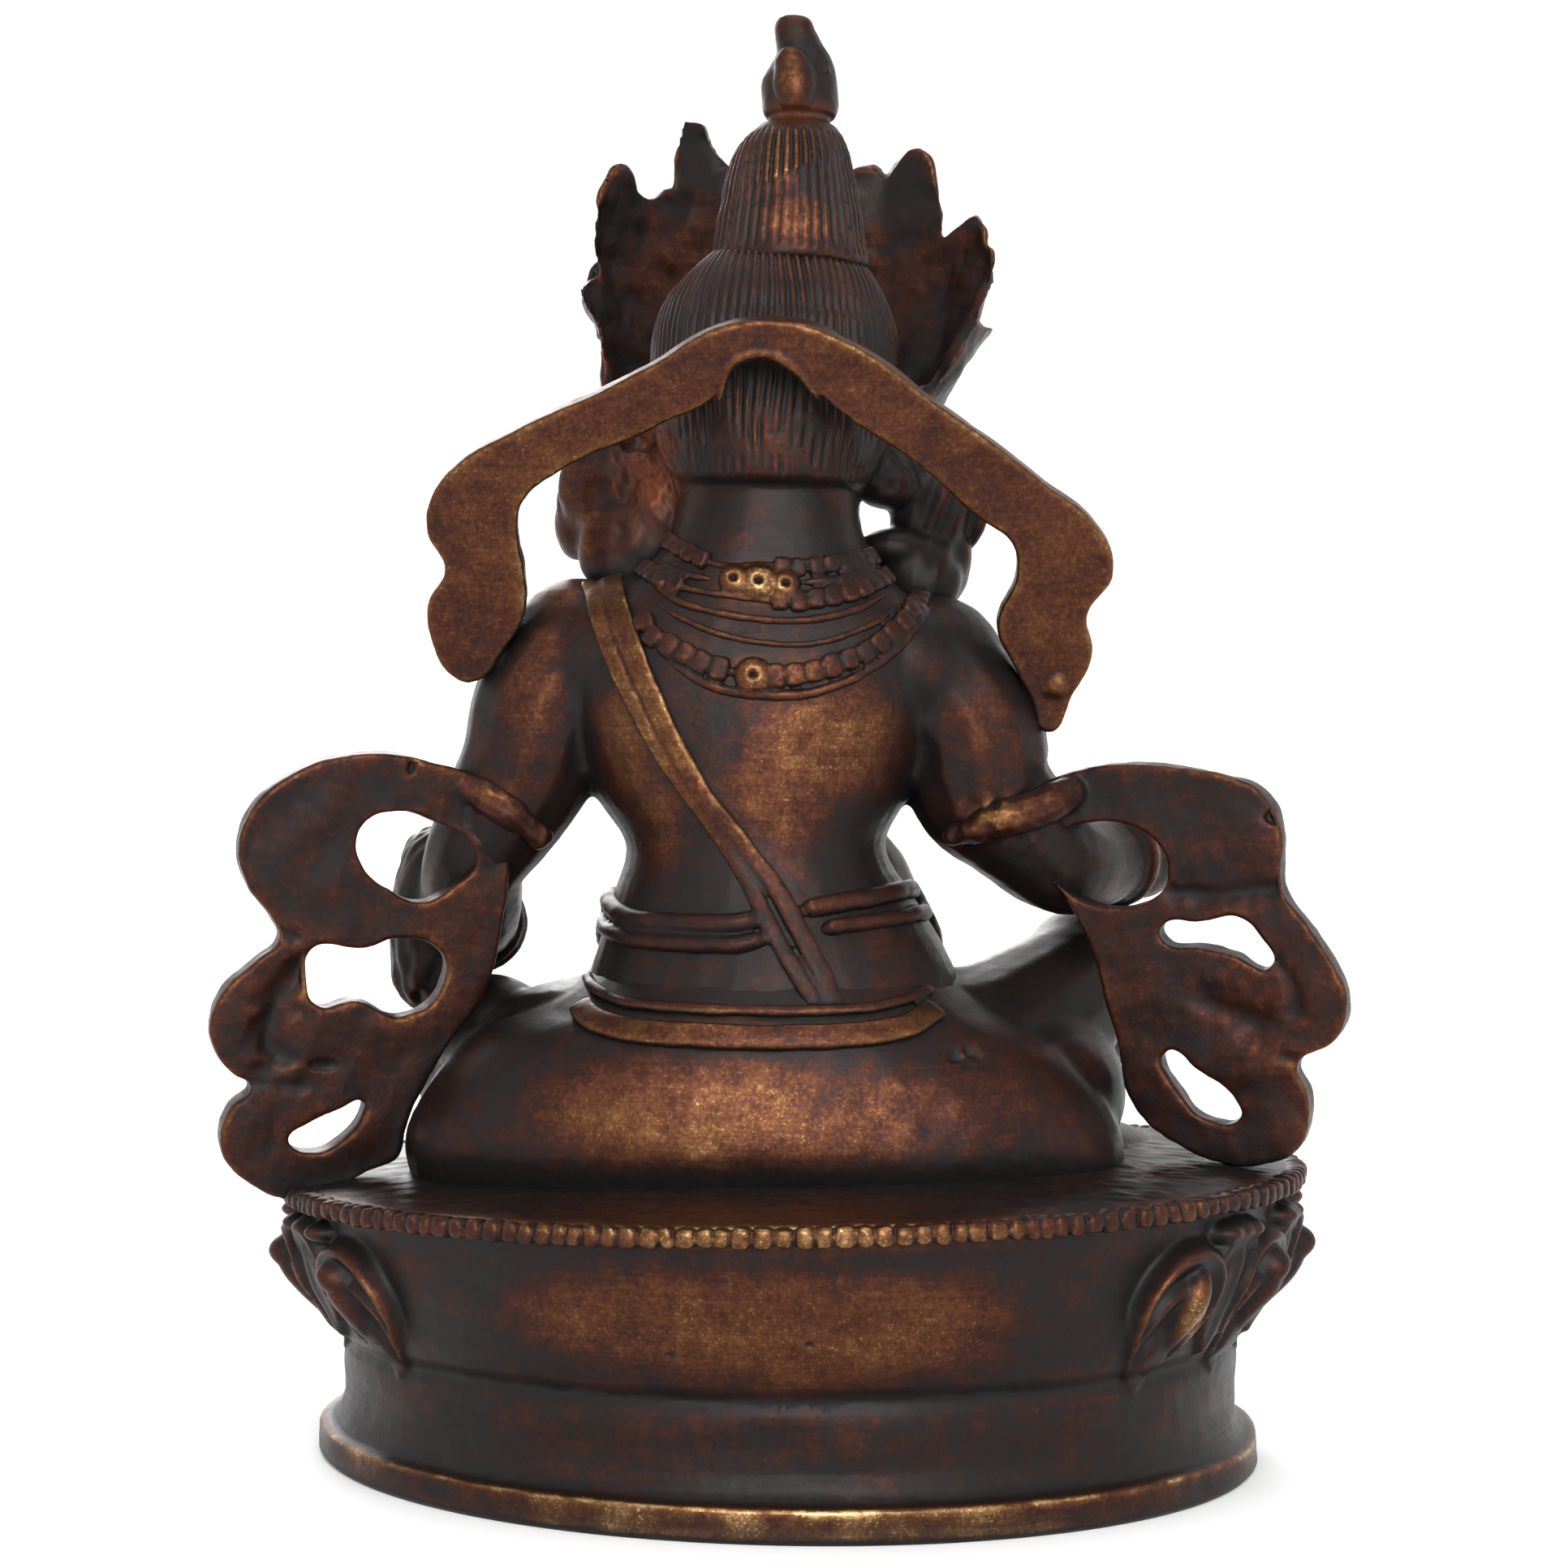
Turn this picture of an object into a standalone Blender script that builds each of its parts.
"""Brass Kubera statue: a figure seated at ease on an oval lotus base, cast in one piece.

The figure faces -Y and the origin is the middle of the underside.
"""

import math

import bmesh
import bpy
import numpy as np
from mathutils import Matrix, Vector
from mathutils.bvhtree import BVHTree

# Overall sizes, in metres
STATUE_HEIGHT = 0.1975
BASE_HEIGHT = 0.0375
BASE_HALF_WIDTH = 0.0652
BASE_HALF_DEPTH = 0.0523

# The base: a foot flange, a waisted drum, a roll round the top and a low rise to the seat
FLANGE_HEIGHT = 0.0043
FLANGE_OVERHANG = 0.0034
FLANGE_CHAMFER = 0.0006
FLANGE_SLOPE_HEIGHT = 0.0019
DRUM_FLARE = 0.0062
ROLL_OVERHANG = 0.0062
ROLL_RADIUS = 0.0015
SEAT_RISE = 0.0025
SEAT_TILT = 0.045

# The lotus petals round the front and sides of the drum
PETAL_COUNT = 11
PETAL_PITCH = math.radians(24.0)
PETAL_WIDTH = 0.0185
PETAL_BULGE = 0.0074
PETAL_POINT_HEIGHT = 0.0150
PETAL_TOP_HEIGHT = 0.0345
LOBE_RADIUS = 0.0042

# Cast thicknesses
SCARF_THICKNESS = 0.0036
RIBBON_THICKNESS = 0.0042
PLATE_EDGE_ROUNDING = 0.0005
CROWN_THICKNESS = 0.0024

# Raised ornaments: half widths and how far they stand proud
SASH_STRIP_HALF_WIDTH = 0.0015
SASH_STRIP_SPACING = 0.0036
BELT_ROLL_RADIUS = 0.0017
NECKLACE_RADIUS = 0.0013
BANGLE_RADIUS = 0.0012

# The figure is drawn on a grid of its own: 37.5 is the seat and 197.5 is the tip of the finial
GRID_SEAT = 37.5
GRID_TOP = 197.5
GRID_UNIT = (STATUE_HEIGHT - BASE_HEIGHT) / (GRID_TOP - GRID_SEAT)

# The surface: voxel sizes of the two fusing steps and the number of triangles
FLESH_VOXEL = 0.0011
CAST_VOXEL = 0.0008
SMOOTHING_STEPS = 3
TRIANGLES = 9800
SECTION_POINTS = 20

# The crown, on the grid: its middle, its radii and how far it leans to the figure's right, in degrees
CROWN_CENTRE = (3.8, 0.0, 160.0)
CROWN_FOOT_RADIUS = 17.5
CROWN_SIDE_RADIUS = 27.5
CROWN_FRONT_RADIUS = 23.0
CROWN_TILT = 7.5

COLLECTION_NAME = "brass_kubera_statue"
NODE_NAME = "kubera_statue"


def clear_scene():
    """Remove what an open file already holds."""
    for old in list(bpy.data.objects):
        bpy.data.objects.remove(old, do_unlink=True)


def on_grid(x, y, z):
    """A point of the figure's grid, in metres."""
    return Vector((x * GRID_UNIT, y * GRID_UNIT, BASE_HEIGHT + (z - GRID_SEAT) * GRID_UNIT))


def smooth_rows(rows, steps=6):
    """Rows read off a smooth curve that passes through the given rows."""
    rows = np.array(rows, dtype=float)
    padded = np.vstack([2 * rows[0] - rows[1], rows, 2 * rows[-1] - rows[-2]])
    result = []
    for first in range(len(rows) - 1):
        before, start, end, after = padded[first:first + 4]
        for step in range(steps):
            t = step / steps
            linear = (end - before) * t
            square = (2 * before - 5 * start + 4 * end - after) * t ** 2
            cube = (3 * start - before - 3 * end + after) * t ** 3
            result.append(0.5 * (2 * start + linear + square + cube))
    result.append(rows[-1])
    return result


def oval(centre, across, deep, half_width, half_depth, squareness=2.0):
    """Points of a closed oval, which a higher squareness turns into a rounded box."""
    points = []
    for step in range(SECTION_POINTS):
        turn = 2 * math.pi * step / SECTION_POINTS
        side = math.copysign(abs(math.cos(turn)) ** (2 / squareness), math.cos(turn))
        lift = math.copysign(abs(math.sin(turn)) ** (2 / squareness), math.sin(turn))
        points.append(centre + across * (side * half_width) + deep * (lift * half_depth))
    return points


def loft(sections):
    """A closed mesh through sections with the same number of points."""
    builder = bmesh.new()
    loops = [[builder.verts.new(point) for point in points] for points in sections]
    for lower, upper in zip(loops, loops[1:]):
        for index in range(len(lower)):
            after = (index + 1) % len(lower)
            builder.faces.new((lower[index], lower[after], upper[after], upper[index]))
    builder.faces.new(list(reversed(loops[0])))
    builder.faces.new(loops[-1])
    bmesh.ops.recalc_face_normals(builder, faces=builder.faces[:])
    mesh = bpy.data.meshes.new("loft")
    builder.to_mesh(mesh)
    builder.free()
    return mesh


def trunk(rows, squareness=2.0):
    """An upright form through level ovals; a row is height, x, y, half width and half depth."""
    sections = []
    for z, x, y, half_width, half_depth in smooth_rows(rows, 4):
        unit = GRID_UNIT
        sections.append(oval(on_grid(x, y, z), Vector((1, 0, 0)), Vector((0, 1, 0)),
                             half_width * unit, half_depth * unit, squareness))
    return loft(sections)


def mass(centre, radii, turn=(0.0, 0.0, 0.0)):
    """A rounded mass: a sphere stretched along three axes and turned, in degrees."""
    builder = bmesh.new()
    bmesh.ops.create_uvsphere(builder, u_segments=20, v_segments=12, radius=1.0)
    stretch = Matrix.Diagonal([radius * GRID_UNIT for radius in radii] + [1.0])
    turned = Matrix.LocRotScale(None, turn_of(turn), None)
    place = Matrix.Translation(on_grid(*centre))
    bmesh.ops.transform(builder, matrix=place @ turned @ stretch, verts=builder.verts[:])
    mesh = bpy.data.meshes.new("mass")
    builder.to_mesh(mesh)
    builder.free()
    return mesh


def turn_of(turn):
    """The rotation for three angles in degrees, taken about X, then Y, then Z."""
    x, y, z = (math.radians(angle) for angle in turn)
    return (Matrix.Rotation(z, 3, "Z") @ Matrix.Rotation(y, 3, "Y") @ Matrix.Rotation(x, 3, "X")).to_quaternion()


def tube(points, radii, cyclic=False):
    """A round tube of changing radius, swept along points in metres by a bevelled curve."""
    curve = bpy.data.curves.new("tube", "CURVE")
    curve.dimensions = "3D"
    curve.bevel_depth = 1.0
    curve.bevel_resolution = 3
    curve.use_fill_caps = True
    spline = curve.splines.new("POLY")
    spline.points.add(len(points) - 1)
    spline.use_cyclic_u = cyclic
    for spot, point, radius in zip(spline.points, points, radii):
        spot.co = (*point, 1.0)
        spot.radius = radius
    swept = bpy.data.objects.new("tube", curve)
    mesh = bpy.data.meshes.new_from_object(swept)
    bpy.data.objects.remove(swept)
    bpy.data.curves.remove(curve)
    return mesh


def limb(rows):
    """A round limb with round ends; a row is x, y, z and radius on the grid."""
    swept = smooth_rows(rows, 5)
    points = [on_grid(*row[:3]) for row in swept]
    radii = [row[3] * GRID_UNIT for row in swept]
    ends = [mass(row[:3], (row[3], row[3], row[3])) for row in (rows[0], rows[-1])]
    return [tube(points, radii)] + ends


def plate(outlines, pivot, side_slope, lean, thickness):
    """A flat plate cut to closed outlines, the first its rim and the rest its holes.

    Points are x and z on the grid. The plate passes through the pivot, and its depth changes by
    side_slope with x and by lean with z.
    """
    facing = Vector((-side_slope, 1.0, -lean)).normalized()
    level = Vector((0, 0, 1)).cross(facing).normalized()
    upward = facing.cross(level)
    curve = bpy.data.curves.new("plate", "CURVE")
    curve.dimensions = "2D"
    curve.fill_mode = "BOTH"
    curve.resolution_u = 5
    curve.bevel_depth = PLATE_EDGE_ROUNDING
    curve.bevel_resolution = 1
    curve.offset = -PLATE_EDGE_ROUNDING
    curve.extrude = thickness / 2 - PLATE_EDGE_ROUNDING
    for outline in outlines:
        spline = curve.splines.new("BEZIER")
        spline.use_cyclic_u = True
        spline.bezier_points.add(len(outline) - 1)
        for knot, (x, z) in zip(spline.bezier_points, outline):
            y = pivot[1] + side_slope * (x - pivot[0]) + lean * (z - pivot[2])
            reach = on_grid(x, y, z) - on_grid(*pivot)
            knot.co = (reach.dot(level), reach.dot(upward), 0.0)
            knot.handle_left_type = "AUTO"
            knot.handle_right_type = "AUTO"
    flat = bpy.data.objects.new("plate", curve)
    mesh = bpy.data.meshes.new_from_object(flat)
    bpy.data.objects.remove(flat)
    bpy.data.curves.remove(curve)
    turned = Matrix((level, upward, facing)).transposed().to_4x4()
    mesh.transform(Matrix.Translation(on_grid(*pivot)) @ turned)
    return mesh


def fuse(meshes, voxel, smoothing):
    """Fuse overlapping meshes into one skin and soften it."""
    joined = bmesh.new()
    for mesh in meshes:
        joined.from_mesh(mesh)
        bpy.data.meshes.remove(mesh)
    mesh = bpy.data.meshes.new("fused")
    joined.to_mesh(mesh)
    joined.free()
    holder = bpy.data.objects.new("fused", mesh)
    bpy.context.scene.collection.objects.link(holder)
    remesh = holder.modifiers.new("fuse", "REMESH")
    remesh.mode = "VOXEL"
    remesh.voxel_size = voxel
    if smoothing:
        soften = holder.modifiers.new("soften", "SMOOTH")
        soften.factor = 0.5
        soften.iterations = smoothing
    result = bpy.data.meshes.new_from_object(holder.evaluated_get(bpy.context.evaluated_depsgraph_get()))
    bpy.data.objects.remove(holder)
    bpy.data.meshes.remove(mesh)
    return result


def surface_of(mesh):
    """A search tree of a mesh, on which ornaments are laid."""
    builder = bmesh.new()
    builder.from_mesh(mesh)
    tree = BVHTree.FromBMesh(builder)
    builder.free()
    return tree


def laid_from_behind(tree, rows, steps=8):
    """Points on the back of the figure; a row is x and z on the grid."""
    points = []
    for x, z in smooth_rows(rows, steps):
        start = on_grid(x, 80.0, z)
        spot = tree.ray_cast(start, Vector((0, -1, 0)))[0]
        if spot is not None:
            points.append(spot)
    return points


def laid_round(tree, centre, height_at, count=48):
    """Points round an upright form; height_at gives the grid height for an angle from the back."""
    points = []
    for step in range(count):
        angle = 2 * math.pi * step / count
        z = height_at(angle)
        outward = Vector((math.sin(angle), math.cos(angle), 0))
        start = on_grid(centre[0], centre[1], z)
        reach = tree.ray_cast(start, outward)
        if reach[0] is not None:
            points.append(reach[0])
    return points


def even_tube(points, radius, cyclic=False):
    """A tube of one radius along points on a surface."""
    return tube(points, [radius] * len(points), cyclic)


# The base


def base_profile():
    """Half width and height of the drum from the table to the middle of the seat."""
    waist = BASE_HALF_WIDTH - FLANGE_OVERHANG
    slope_top = FLANGE_HEIGHT + FLANGE_SLOPE_HEIGHT
    roll_width = BASE_HALF_WIDTH + ROLL_OVERHANG
    roll_height = BASE_HEIGHT - ROLL_RADIUS
    below_roll = roll_height - ROLL_RADIUS
    drum = [(BASE_HALF_WIDTH - FLANGE_CHAMFER, 0.0), (BASE_HALF_WIDTH, FLANGE_CHAMFER),
            (BASE_HALF_WIDTH, FLANGE_HEIGHT), (waist, slope_top)]
    flare_steps = 6
    start = 0.45 * BASE_HEIGHT
    for step in range(flare_steps + 1):
        share = step / flare_steps
        height = start + (below_roll - start) * share
        drum.append((waist + DRUM_FLARE * math.sin(share * math.pi / 2) ** 1.2, height))
    roll = []
    for step in range(7):
        turn = math.pi * (step / 6 - 0.5)
        roll.append((roll_width - ROLL_RADIUS + ROLL_RADIUS * math.cos(turn),
                     roll_height + ROLL_RADIUS * math.sin(turn)))
    seat = [(0.6 * BASE_HALF_WIDTH, BASE_HEIGHT + 0.7 * SEAT_RISE), (0.0, BASE_HEIGHT + SEAT_RISE)]
    return drum + roll + seat


def lean_base(mesh):
    """Press the drum to its oval and let its top lean a little to one side."""
    for vertex in mesh.vertices:
        share = max(0.0, vertex.co.z / BASE_HEIGHT)
        vertex.co.z -= SEAT_TILT * share ** 2 * vertex.co.x


def turned_drum():
    """The drum: its profile turned by a Screw modifier and pressed to an oval."""
    builder = bmesh.new()
    outline = [(0.0, 0.0)] + base_profile()
    spots = [builder.verts.new((radius, 0.0, height)) for radius, height in reversed(outline)]
    for first, second in zip(spots, spots[1:]):
        builder.edges.new((first, second))
    mesh = bpy.data.meshes.new("drum profile")
    builder.to_mesh(mesh)
    builder.free()
    holder = bpy.data.objects.new("drum", mesh)
    bpy.context.scene.collection.objects.link(holder)
    screw = holder.modifiers.new("turn", "SCREW")
    screw.steps = 96
    screw.render_steps = 96
    screw.use_merge_vertices = True
    screw.merge_threshold = 0.00001
    turned = bpy.data.meshes.new_from_object(holder.evaluated_get(bpy.context.evaluated_depsgraph_get()))
    bpy.data.objects.remove(holder)
    bpy.data.meshes.remove(mesh)
    turned.transform(Matrix.Diagonal((1.0, BASE_HALF_DEPTH / BASE_HALF_WIDTH, 1.0, 1.0)))
    return turned


def drum_wall(height):
    """Half width of the drum at a height, read off its profile."""
    outline = base_profile()
    for (inner, low), (outer, high) in zip(outline, outline[1:]):
        if low <= height <= high and high > low:
            return inner + (outer - inner) * (height - low) / (high - low)
    return outline[-1][0]


def wall_frame(angle, height):
    """A point of the oval wall, its outward direction and the direction along it."""
    flatness = BASE_HALF_DEPTH / BASE_HALF_WIDTH
    radius = drum_wall(height)
    spot = Vector((radius * math.sin(angle), radius * flatness * math.cos(angle), height))
    outward = Vector((math.sin(angle) * flatness, math.cos(angle), 0)).normalized()
    return spot, outward, outward.cross(Vector((0, 0, 1)))


def petal(angle):
    """A lotus petal that hangs point down on the drum's wall."""
    span = PETAL_TOP_HEIGHT - PETAL_POINT_HEIGHT
    sections = []
    for step in range(13):
        share = step / 12
        spot, outward, along = wall_frame(angle, PETAL_POINT_HEIGHT + span * share)
        width = PETAL_WIDTH / 2 * math.sin(math.pi * min(share ** 0.75, 0.62) / 1.24) ** 0.9
        bulge = PETAL_BULGE * min(1.0, 0.25 + share / 0.60) * (1 - max(0.0, share - 0.55) ** 1.5 / 0.55)
        sections.append(oval(spot, along, outward, max(width, 0.0006), bulge, 2.4))
    return loft(sections)


def lotus_base():
    """The drum with its petals and the small lobes between them."""
    meshes = [turned_drum()]
    first = math.pi - PETAL_PITCH * (PETAL_COUNT - 1) / 2
    for index in range(PETAL_COUNT):
        meshes.append(petal(first + PETAL_PITCH * index))
    for index in range(PETAL_COUNT + 1):
        spot, outward, _ = wall_frame(first + PETAL_PITCH * (index - 0.5), PETAL_TOP_HEIGHT - LOBE_RADIUS)
        lobe = bmesh.new()
        bmesh.ops.create_uvsphere(lobe, u_segments=12, v_segments=8, radius=LOBE_RADIUS)
        bmesh.ops.translate(lobe, vec=spot, verts=lobe.verts[:])
        mesh = bpy.data.meshes.new("lobe")
        lobe.to_mesh(mesh)
        lobe.free()
        meshes.append(mesh)
    for mesh in meshes:
        lean_base(mesh)
    return meshes


# The figure's body


def seated_body():
    """Hips, torso and belly. A row is height, x, y, half width and half depth."""
    hips = trunk([(33, 4, 8, 45, 24), (39, 4, 8, 48.5, 26), (45, 4, 8.5, 49.0, 27.5), (52, 4, 8, 45.5, 27.0),
                  (58, 4, 7, 39.3, 26.0), (62.6, 3.2, 5, 30.0, 26.0), (67.5, 3.4, 3, 24.0, 24.0)], 2.3)
    torso = trunk([(56, 3, 4, 26, 26), (64, 3, 4, 26.5, 26.0), (70, 3.4, 3.5, 24.0, 24.5),
                   (77, 4.7, 3, 20.9, 22.5), (84, 6.0, 3.5, 18.0, 21.0), (91, 6.9, 4.5, 21.6, 20.5),
                   (101, 7.0, 6, 25.5, 19.0), (109, 6.6, 7, 26.5, 17.5), (115, 6.2, 8, 25.0, 15.0),
                   (120, 5.6, 9, 18.0, 12.5), (126, 5.0, 9, 13.4, 11.5), (133, 5.0, 8, 12.0, 11.0)], 2.3)
    belly = mass((4.0, -10, 75), (21.5, 17, 17))
    chest = [mass((5.5 + side * 11, -7, 103), (12, 8, 9)) for side in (-1, 1)]
    return [hips, torso, belly] + chest


def arms():
    """The bent left arm and the right arm laid out to the raised knee, with their hands."""
    left = limb([(30.5, 7, 109.5, 11.0), (35.0, 7, 103, 10.4), (37.3, 7, 95, 9.6), (41.0, 6, 88, 8.6),
                 (45.0, 4, 81, 7.3), (46.0, -3, 75, 7.2), (46.5, -13, 71.5, 5.8), (48, -20, 70, 4.8)])
    right = limb([(-17.5, 7, 108.0, 11.0), (-23.0, 7, 101, 10.4), (-25.0, 6, 93, 10.2), (-29.4, 5, 88, 8.8),
                  (-36.2, 2, 82.6, 7.6), (-41, -4, 82.0, 6.8), (-46.0, -10, 83, 5.8), (-49, -15, 83, 4.8)])
    shoulders = [mass((24, 8, 111), (14.5, 12, 9.5), (0, 18, 0)), mass((-12, 8, 109.5), (14.5, 12, 9.5), (0, -18, 0))]
    hands = [mass((48, -23, 70), (6.5, 7, 5.5)), mass((-50, -18, 82), (5.8, 8.0, 5.5), (15, 0, 15))]
    return left + right + shoulders + hands


def legs():
    """The folded left leg and the raised right leg with its foot on the seat."""
    left_thigh = limb([(18, 8, 51, 17), (33, 0, 50.5, 14.0), (44, -13, 49, 10.5)])
    left_shin = limb([(42, -20, 46, 8.5), (26, -31, 45, 8.0), (8, -36, 44, 6.5), (-4, -37, 43, 5.5)])
    left_foot = mass((-11, -36, 42.5), (10, 6, 4.5), (0, 0, -8))
    right_thigh = limb([(-14, 8, 50.5, 17), (-28, 0, 55.5, 13.3), (-40, -9, 64, 9.8)])
    right_shin = limb([(-42, -12, 66.5, 9.4), (-41, -20, 57, 8.6), (-39, -26, 48, 7.0), (-38, -29, 43, 5.8)])
    right_foot = mass((-39, -36, 41.5), (6.0, 11.5, 4.5), (0, 0, 8))
    outer_thigh = mass((-33, -2, 50), (13.5, 20, 13))
    return left_thigh + left_shin + right_thigh + right_shin + [left_foot, right_foot, outer_thigh]


def held_things():
    """The mongoose in the left hand, the jewel in the right, a scarf end and folds of cloth."""
    mongoose = limb([(51.5, -8, 65, 6.5), (51.5, -8, 73, 7.0), (50.5, -9, 79.5, 6.6), (52, -17, 78, 6.0),
                     (51, -25, 77, 5.0), (49, -31, 77, 3.4)])
    jewel = mass((-52.5, -24, 84), (5.0, 5.0, 6.0))
    scarf_end = mass((63, -10, 41.5), (9, 12, 4.5), (0, 8, 0))
    knee_cloth = [mass((44, -4, 58), (9, 9, 7)), mass((-44, -14, 40.5), (9, 16, 3.8))]
    return mongoose + [jewel, scarf_end] + knee_cloth


def head():
    """Neck, head and the hair behind it. A row is height, x, y, half width and half depth."""
    skull = trunk([(124, 5.0, 8, 13.4, 11.5), (130, 5.2, 6.5, 12.8, 12.5), (134, 5.2, 4.5, 13.3, 15.5),
                   (139, 4.8, 3.5, 14.6, 17.5), (145, 4.3, 3.2, 16.4, 18.6), (152, 4.4, 3.5, 17.4, 18.8),
                   (158, 4.4, 4.5, 16.0, 17.0), (163, 3.8, 5.5, 12.5, 13.5), (167, 3.2, 6.5, 8.0, 9.0)], 2.1)
    hair = trunk([(133.2, 4.8, 7.4, 11.6, 13.2), (135.5, 4.8, 6.2, 14.4, 15.6), (141, 4.6, 5.2, 16.2, 17.6),
                  (148, 4.4, 4.6, 17.2, 18.4), (155, 4.4, 4.8, 16.8, 17.6)], 2.1)
    nose = mass((4.4, -15.6, 145.5), (2.2, 3.4, 4.6), (-14, 0, 0))
    chin = mass((4.8, -11.5, 135.6), (5.0, 4.5, 3.4))
    ears = [mass((22.5, 1.5, 143), (3.0, 3.6, 8.0), (0, 12, 0)), mass((-13.0, 1.5, 143), (3.0, 3.6, 8.0), (0, -12, 0))]
    earrings = [mass((26.5, 2.5, 133), (8.6, 5.0, 9.5), (0, 12, 0)), mass((24, 4, 125), (8.0, 6.0, 8.0)),
                mass((-16.5, 2.0, 130), (7.0, 4.5, 10.5), (0, -8, 0)), mass((-15.0, 4, 121), (6.5, 5.0, 6.5)),
                mass((-9.5, 3, 135), (6.0, 4.5, 5.5))]
    return [skull, hair, nose, chin] + ears + earrings


def bun():
    """The bell-shaped bun and the finial on it, turned about one upright axis."""
    return [trunk([(162.0, 2.7, 8, 8.5, 8.5), (164.2, 2.7, 8, 10.6, 10.6), (166.0, 2.7, 8, 10.5, 10.5),
                   (171.0, 2.7, 8, 9.8, 9.8), (177.0, 2.7, 8, 8.6, 8.6), (181.0, 2.3, 8, 7.2, 7.2),
                   (183.2, 1.8, 8, 4.6, 4.6), (185.0, 1.5, 8, 5.0, 5.0), (187.5, 1.3, 8, 5.4, 5.4),
                   (190.5, 1.2, 8, 4.7, 4.7), (193.0, 1.8, 8, 3.6, 3.6), (195.5, 2.6, 8, 2.8, 2.8),
                   (GRID_TOP, 2.6, 8, 2.0, 2.0)]), mass((1.8, 12.6, 188.3), (3.1, 2.6, 3.8))]


def leaf_half_width(share, width):
    """Half width of a crown leaf at a share of its height: two pairs of side lobes and a pointed tip."""
    lower_lobe = 0.20 * math.exp(-((share - 0.42) / 0.07) ** 2)
    upper_lobe = 0.12 * math.exp(-((share - 0.68) / 0.06) ** 2)
    body = 0.84 * (1 - max(0.0, share - 0.25) ** 2 / 0.75 ** 2) ** 0.75
    return width / 2 * (body + lower_lobe + upper_lobe)


def crown_leaf(angle, foot, rise, width):
    """A lobed crown leaf that stands on the head band and splays outward."""
    tilt = math.radians(CROWN_TILT)
    sections = []
    for step in range(19):
        share = step / 18
        splay = math.sin(min(1.0, share / 0.6) * math.pi / 2)
        side_radius = CROWN_FOOT_RADIUS + (CROWN_SIDE_RADIUS - CROWN_FOOT_RADIUS) * splay
        front_radius = CROWN_FOOT_RADIUS + (CROWN_FRONT_RADIUS - CROWN_FOOT_RADIUS) * splay
        x = side_radius * math.sin(angle)
        y = -front_radius * math.cos(angle)
        z = foot + rise * share
        outward = Vector((math.sin(angle), -math.cos(angle), -0.3 * (1 - splay))).normalized()
        along = Vector((math.cos(angle), math.sin(angle), 0))
        leaning = Vector((x * math.cos(tilt) - z * math.sin(tilt), y, x * math.sin(tilt) + z * math.cos(tilt)))
        spot = on_grid(CROWN_CENTRE[0] + leaning.x, CROWN_CENTRE[1] + leaning.y, CROWN_CENTRE[2] + leaning.z)
        half = max(leaf_half_width(share, width), 1.2) * GRID_UNIT
        sections.append(oval(spot, along, outward, half, CROWN_THICKNESS / 2, 3.0))
    return loft(sections)


def crown():
    """The head band and its five leaves, from the figure's right to its left."""
    leaves = [crown_leaf(math.radians(-68), -16, 34.5, 24), crown_leaf(math.radians(-34), -9, 37, 22),
              crown_leaf(0.0, -5, 36, 19), crown_leaf(math.radians(35), -9, 38, 20),
              crown_leaf(math.radians(64), -16, 34, 20)]
    ring = []
    for step in range(25):
        angle = math.radians(-100 + 200 * step / 24)
        ring.append(on_grid(CROWN_CENTRE[0] + 17.0 * math.sin(angle), 2.0 - 17.2 * math.cos(angle),
                            151 + 4 * math.cos(angle)))
    return leaves + [even_tube(ring, 2.2 * GRID_UNIT)]


# The scarf and ribbons. An outline is a list of x and z on the grid


def head_scarf():
    """The wide scarf that arches behind the head from arm to arm, and its three ties."""
    outer = [(47.0, 106.5), (50.0, 111.5), (50.3, 116.2), (47.9, 120.9), (50.1, 125.6), (49.3, 130.3),
             (45.4, 134.4), (39.4, 138.0), (21.7, 146.1), (12.4, 151.3), (4.4, 152.6), (-4.4, 150.4),
             (-19.0, 141.4), (-31.4, 133.2), (-38.6, 127.8), (-41.2, 121.8), (-38.1, 116.5), (-39.0, 111.0),
             (-36.6, 105.5), (-33.6, 100.8)]
    inner = [(-31.0, 105.2), (-28.2, 110.0), (-26.2, 115.0), (-28.3, 121.4), (-27.6, 125.4), (-23.2, 128.4),
             (-14.0, 135.6), (-1.3, 144.6), (4.8, 147.1), (10.8, 144.6), (19.1, 139.6), (32.5, 133.5),
             (37.2, 129.8), (38.0, 124.6), (37.4, 120.6), (37.4, 115.0), (40.5, 110.0), (44.0, 106.2)]
    scarf = plate([outer + inner], (5.0, 10.0, 101.0), 0.0, 0.40, SCARF_THICKNESS)
    tie = mass((4.5, 25, 148.5), (8.5, 6, 5.0))
    feet = limb([(44.0, 13, 110, 2.6), (38, 9, 108, 3.4)]) + limb([(-34.5, 12.5, 107, 2.6), (-29, 8, 105, 3.4)])
    return [scarf, tie] + feet


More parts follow.
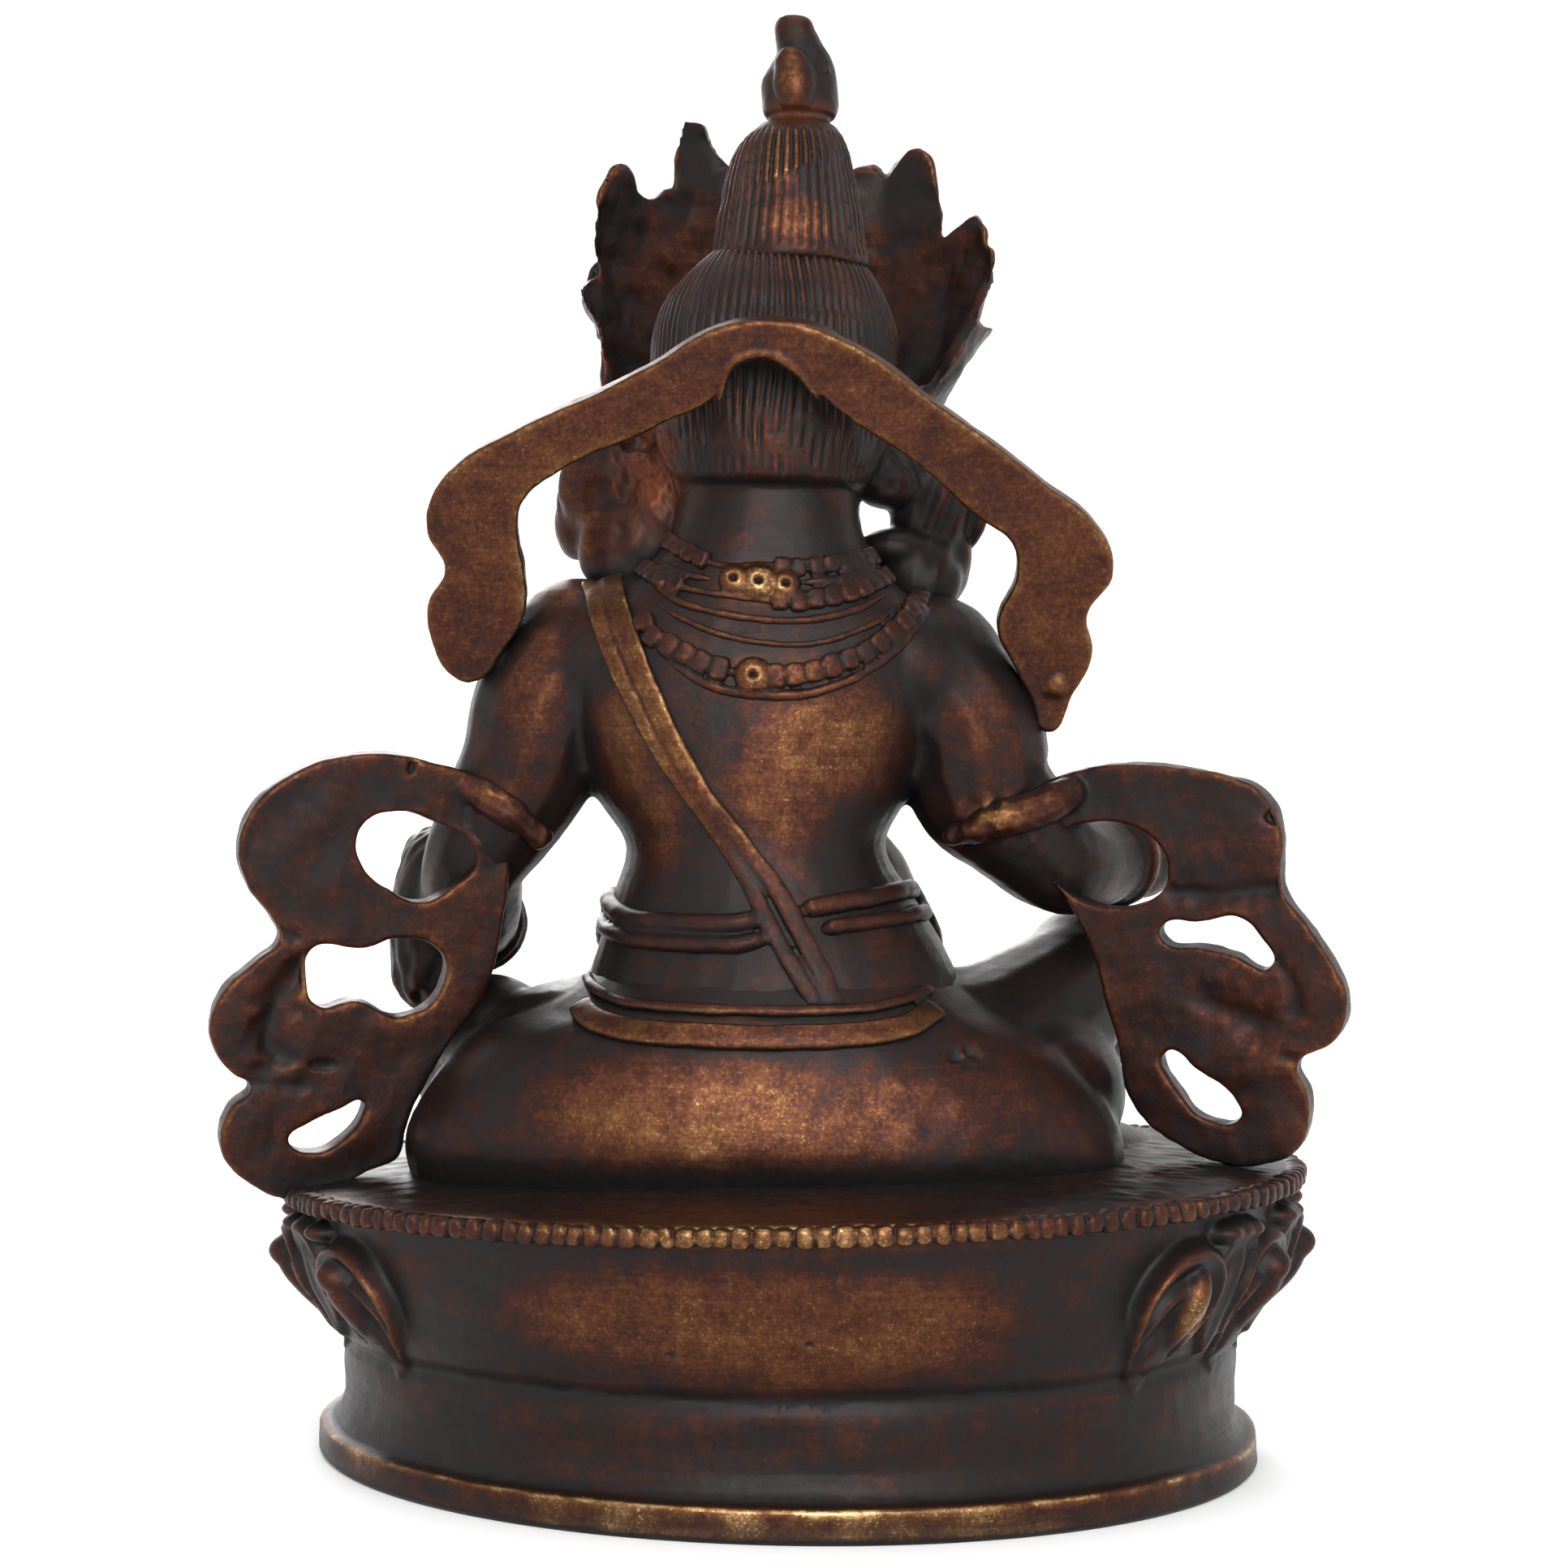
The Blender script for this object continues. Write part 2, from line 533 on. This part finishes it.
def side_ribbons():
    """The looping ribbon on each side: a pierced plate swept outward and back from arm and thigh."""
    left_rim = [(40.2, 90.7), (44.3, 93.1), (51.1, 94.9), (57.1, 95.8), (62.6, 95.1), (68.1, 92.5), (72.8, 88.1),
                (74.6, 82.7), (73.4, 77.8), (70.3, 73.6), (69.4, 70.8), (72.5, 68.0), (76.8, 63.4), (78.3, 59.5),
                (77.5, 55.7), (75.3, 52.7), (73.2, 51.0), (75.6, 48.3), (76.9, 44.8), (76.1, 40.9), (73.0, 37.7),
                (68.3, 35.6), (63.2, 36.6), (57.9, 39.1), (54.5, 41.1), (53.6, 44.6), (51.5, 50.1), (47.4, 56.9),
                (43.0, 63.8), (41.0, 72.0), (40.0, 82.0)]
    left_holes = [[(59.7, 83.7), (58.5, 86.6), (55.0, 87.9), (50.0, 86.8), (44.3, 82.1), (47.5, 77.9), (51.5, 75.9),
                   (55.9, 77.9), (58.7, 80.2)],
                  [(65.5, 69.6), (66.3, 66.0), (64.7, 61.8), (59.5, 62.5), (53.8, 60.2), (48.3, 65.5), (49.1, 69.4),
                   (54.7, 71.0), (58.5, 69.6)],
                  [(68.4, 43.7), (66.0, 46.0), (61.9, 47.8), (59.0, 48.8), (58.9, 46.8), (61.7, 43.4), (65.5, 41.9)]]
    right_rim = [(-22.2, 89.1), (-29.0, 91.3), (-34.5, 93.7), (-39.6, 95.6), (-45.1, 96.2), (-51.3, 95.7),
                 (-57.4, 94.8), (-62.1, 92.4), (-64.5, 87.6), (-64.7, 82.0), (-65.2, 79.4), (-68.0, 75.3),
                 (-72.3, 69.0), (-73.6, 64.6), (-72.3, 59.7), (-67.6, 56.3), (-69.2, 52.6), (-69.6, 49.4),
                 (-68.0, 44.8), (-63.9, 42.7), (-57.7, 42.4), (-53.0, 44.4), (-47.8, 48.1), (-46.1, 51.3),
                 (-44.8, 56.2), (-42.9, 63.6), (-40.3, 71.8), (-33.0, 81.9), (-25.2, 83.8)]
    right_holes = [[(-33.6, 84.0), (-37.5, 87.4), (-43.5, 88.2), (-48.1, 86.4), (-50.3, 82.6), (-48.6, 78.2),
                    (-42.5, 76.8), (-36.9, 79.1)],
                   [(-59.6, 76.1), (-62.6, 73.6), (-63.9, 69.4), (-59.0, 70.7), (-54.8, 71.6), (-50.5, 72.0),
                    (-49.7, 74.0), (-55.0, 75.1)],
                   [(-50.8, 57.3), (-55.4, 54.7), (-59.3, 51.7), (-60.6, 48.6), (-56.5, 48.2), (-53.1, 51.2)]]
    return [plate([left_rim] + left_holes, (40.0, 8.0, 70.0), 0.35, 0.12, RIBBON_THICKNESS),
            plate([right_rim] + right_holes, (-40.0, 8.0, 70.0), -0.35, 0.12, RIBBON_THICKNESS)]


# Ornaments laid on the fused body


def sash(body):
    """Two raised strips from the left shoulder to the right hip, down the back."""
    meshes = []
    lines = [(26.0, 119.0), (20.6, 106.7), (13.6, 92.9), (4.7, 78.2), (-4.0, 65.0), (-7.0, 60.5)]
    for side in (-1, 1):
        offset = side * SASH_STRIP_SPACING / (2 * GRID_UNIT)
        rows = [(x + offset * 0.85, z - offset * 0.5) for x, z in lines]
        points = laid_from_behind(body, rows)
        meshes.append(even_tube(points, SASH_STRIP_HALF_WIDTH))
    return meshes


def belts(body):
    """Two rolls round the waist and two round the hips, lower in front under the belly."""
    def level(z, dip, slope):
        return lambda angle: z - dip * (1 - math.cos(angle)) / 2 - slope * math.sin(angle)
    meshes = []
    for z, dip, slope, centre in ((75.6, -1.5, 0.9, (4.7, 3)), (71.9, -1.0, 0.9, (4.0, 3)),
                                  (61.4, 5.0, 0.2, (3.5, 3)), (64.2, 5.0, 0.2, (3.5, 3))):
        points = laid_round(body, centre, level(z, dip, slope))
        meshes.append(even_tube(points, BELT_ROLL_RADIUS, True))
    return meshes


def necklaces(body):
    """Two close rows round the neck and a longer row that reaches the upper back."""
    def hanging(z, back, front):
        def height(angle):
            share = (1 + math.cos(angle)) / 2
            return z - back * share ** 3 - front * (1 - share) ** 3 - 2.0 * math.sin(angle + 2.8)
        return height
    meshes = []
    for z, back, front in ((122.5, 4.0, 8.0), (120.5, 4.4, 11.0)):
        points = laid_round(body, (5.0, 9.0), hanging(z, back, front))
        meshes.append(even_tube(points, NECKLACE_RADIUS, True))
    lower = laid_from_behind(body, [(21.5, 114.5), (14, 108.8), (6.5, 106.8), (-3, 109), (-14, 116.5)])
    meshes.append(even_tube(lower, NECKLACE_RADIUS))
    return meshes


def bangles():
    """A ring at each wrist."""
    meshes = []
    for spot, axis, radius in (((46.3, -12, 71.7), (1.4, -8, -1.7), 6.2), ((-45.5, -9.6, 82.9), (-5, -6, 0.8), 6.1)):
        builder = bmesh.new()
        circle = bmesh.ops.create_circle(builder, segments=24, radius=radius * GRID_UNIT)
        facing = Vector(axis).to_track_quat("Z", "Y").to_matrix().to_4x4()
        placed = Matrix.Translation(on_grid(*spot)) @ facing
        points = [placed @ vertex.co for vertex in circle["verts"]]
        builder.free()
        meshes.append(even_tube(points, BANGLE_RADIUS, True))
    return meshes


# Casting the statue


def largest_body(mesh):
    """Keep the outer skin only: drop any small bubble that fusing left inside."""
    builder = bmesh.new()
    builder.from_mesh(mesh)
    builder.verts.ensure_lookup_table()
    unseen = set(builder.verts)
    groups = []
    while unseen:
        start = unseen.pop()
        group = [start]
        front = [start]
        while front:
            vertex = front.pop()
            for edge in vertex.link_edges:
                other = edge.other_vert(vertex)
                if other in unseen:
                    unseen.remove(other)
                    group.append(other)
                    front.append(other)
        groups.append(group)
    groups.sort(key=len)
    loose = [vertex for group in groups[:-1] for vertex in group]
    bmesh.ops.delete(builder, geom=loose, context="VERTS")
    builder.to_mesh(mesh)
    builder.free()


def reduced(mesh):
    """The same form with few triangles, kept where the form bends most."""
    holder = bpy.data.objects.new("reduced", mesh)
    bpy.context.scene.collection.objects.link(holder)
    mesh.calc_loop_triangles()
    fewer = holder.modifiers.new("fewer", "DECIMATE")
    fewer.ratio = TRIANGLES / len(mesh.loop_triangles)
    result = bpy.data.meshes.new_from_object(holder.evaluated_get(bpy.context.evaluated_depsgraph_get()))
    bpy.data.objects.remove(holder)
    bpy.data.meshes.remove(mesh)
    return result


def flat_underside(mesh):
    """Cut the underside off flat, and close it."""
    builder = bmesh.new()
    builder.from_mesh(mesh)
    whole = builder.verts[:] + builder.edges[:] + builder.faces[:]
    cut = bmesh.ops.bisect_plane(builder, geom=whole, dist=1e-7, plane_co=(0, 0, 0), plane_no=(0, 0, -1),
                                 clear_outer=True)
    rim = [item for item in cut["geom_cut"] if isinstance(item, bmesh.types.BMEdge)]
    bmesh.ops.holes_fill(builder, edges=rim)
    bmesh.ops.triangulate(builder, faces=builder.faces[:])
    bmesh.ops.recalc_face_normals(builder, faces=builder.faces[:])
    builder.to_mesh(mesh)
    builder.free()


def brass():
    """Aged brass."""
    material = bpy.data.materials.new("aged brass")
    material.use_nodes = True
    shader = material.node_tree.nodes["Principled BSDF"]
    shader.inputs["Base Color"].default_value = (0.16, 0.095, 0.045, 1.0)
    shader.inputs["Metallic"].default_value = 0.85
    shader.inputs["Roughness"].default_value = 0.42
    return material


def build():
    """Cast the statue and put it in its collection."""
    clear_scene()
    body = fuse(seated_body() + arms() + legs() + head(), FLESH_VOXEL, SMOOTHING_STEPS)
    skin = surface_of(body)
    ornaments = sash(skin) + belts(skin) + necklaces(skin) + bangles()
    cast = [body] + ornaments + held_things() + bun() + crown() + head_scarf() + side_ribbons() + lotus_base()
    statue = fuse(cast, CAST_VOXEL, 1)
    largest_body(statue)
    statue = reduced(statue)
    flat_underside(statue)
    statue.name = NODE_NAME
    statue.materials.append(brass())
    collection = bpy.data.collections.new(COLLECTION_NAME)
    bpy.context.scene.collection.children.link(collection)
    collection.objects.link(bpy.data.objects.new(NODE_NAME, statue))


build()
